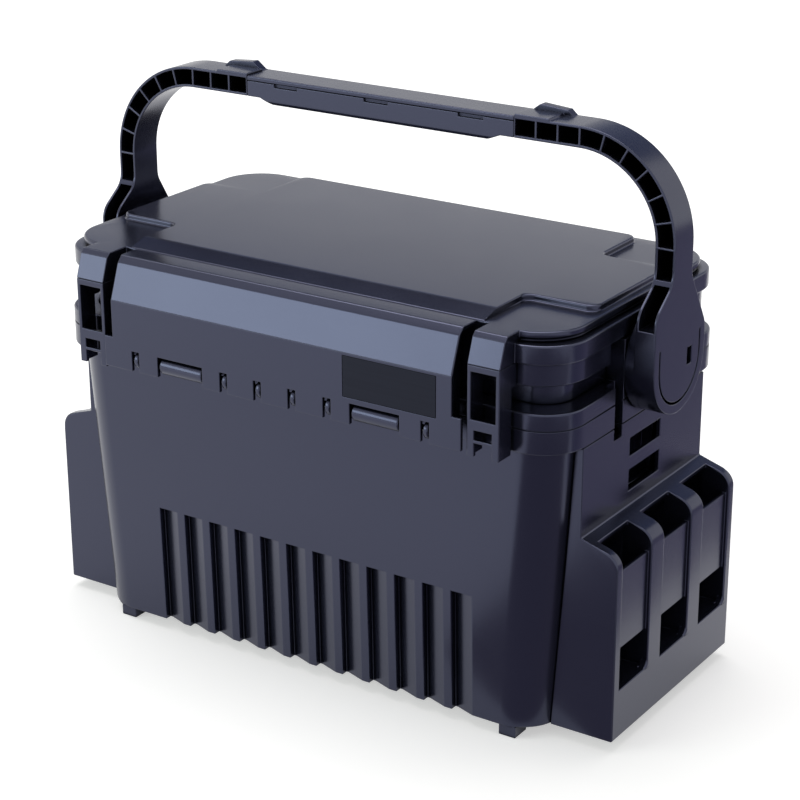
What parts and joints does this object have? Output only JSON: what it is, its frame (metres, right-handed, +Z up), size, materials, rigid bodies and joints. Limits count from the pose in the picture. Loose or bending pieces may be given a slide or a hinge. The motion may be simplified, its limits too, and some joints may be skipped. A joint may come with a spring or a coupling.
{
  "type": "tackle box",
  "caption": "Moulded tackle box: tapered tub with open tool pockets on both ends, hinged lid, wide front latch, folding bail handle and a sliding inner tray.",
  "frame": {"origin": "middle of the box's footprint, on the floor under its feet", "axes": "+X along the box to the right, +Y from the latch to the rear hinges, +Z up"},
  "size_m": [0.434, 0.233, 0.3745],
  "materials": {
    "moulded_black": "satin moulded",
    "grip_plastic": "fine grain",
    "plate_gloss": "gloss",
    "pivot_plastic": "smooth",
    "tray_plastic": "satin moulded",
    "pin_steel": "drawn wire"
  },
  "bodies": {
    "tub": {"tub": "moulded_black", "collar": "moulded_black", "rack_left": "moulded_black", "rack_right": "moulded_black", "latch_pin": "pin_steel", "hinge_pin_left": "pin_steel", "hinge_pin_right": "pin_steel", "pivot_pin_left": "pivot_plastic", "pivot_pin_right": "pivot_plastic"},
    "lid": {"lid": "moulded_black", "hanger_left": "moulded_black", "hanger_right": "moulded_black"},
    "latch": {"front_latch": "moulded_black", "name_plate": "plate_gloss"},
    "handle": {"handle_arm_left": "moulded_black", "handle_arm_right": "moulded_black", "grip_body": "grip_plastic", "grip_cover": "moulded_black"},
    "tray": {"tray": "tray_plastic", "tray_divider_1": "tray_plastic", "tray_divider_2": "tray_plastic", "tray_divider_3": "tray_plastic"}
  },
  "joints": [
    {"name": "lid_open", "type": "hinge", "parent": "tub", "child": "lid", "pos_m": [0, 0.1115, 0.229], "axis": [-1, 0, 0], "range_deg": [0, 24]},
    {"name": "latch_swing", "type": "hinge", "parent": "tub", "child": "latch", "pos_m": [0, -0.1105, 0.204], "axis": [1, 0, 0], "range_deg": [0, 110]},
    {"name": "handle_fold", "type": "hinge", "parent": "tub", "child": "handle", "pos_m": [0, 0.008, 0.231], "axis": [-1, 0, 0], "range_deg": [0, 95]},
    {"name": "tray_slide", "type": "slide", "parent": "tub", "child": "tray", "axis": [1, 0, 0], "range_m": [0, 0.181]}
  ]
}
